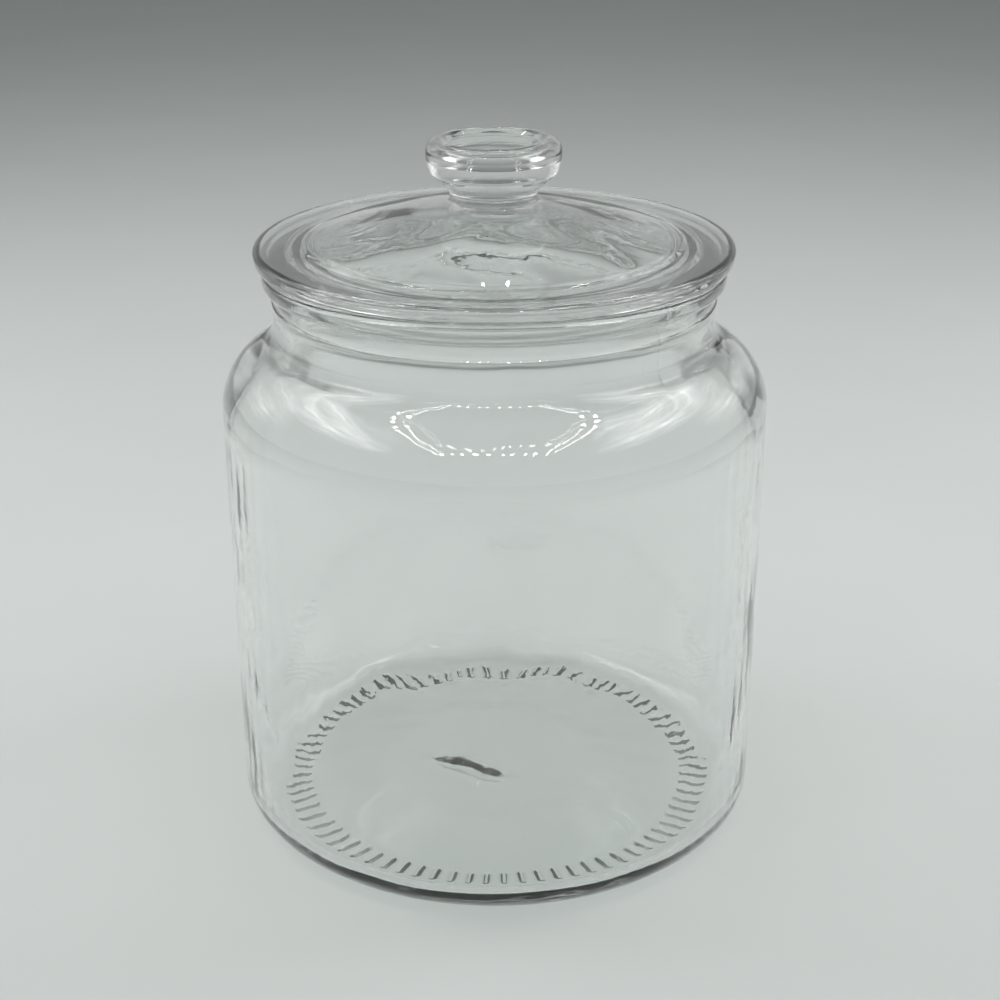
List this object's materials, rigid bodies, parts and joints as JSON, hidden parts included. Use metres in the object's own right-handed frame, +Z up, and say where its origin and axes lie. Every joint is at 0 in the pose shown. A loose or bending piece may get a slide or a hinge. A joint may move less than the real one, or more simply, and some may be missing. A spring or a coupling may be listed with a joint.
{
  "type": "glass storage jar",
  "caption": "Clear glass storage jar with rounded shoulders, a beaded lip and a loose domed glass lid with a round knob.",
  "frame": {"origin": "centre of the ring that the jar stands on, on the table", "axes": "+Z up along the jar's axis, through the lid's knob; the jar is round, so +X and +Y are any two directions across it"},
  "size_m": [0.14, 0.14, 0.18],
  "materials": {
    "jar_glass": "clear, colourless, fire-polished, slightly wavy",
    "lid_glass": "clear, colourless, pressed, wavy underside"
  },
  "bodies": {
    "root": {"jar": "jar_glass", "lid": "lid_glass"}
  },
  "joints": []
}
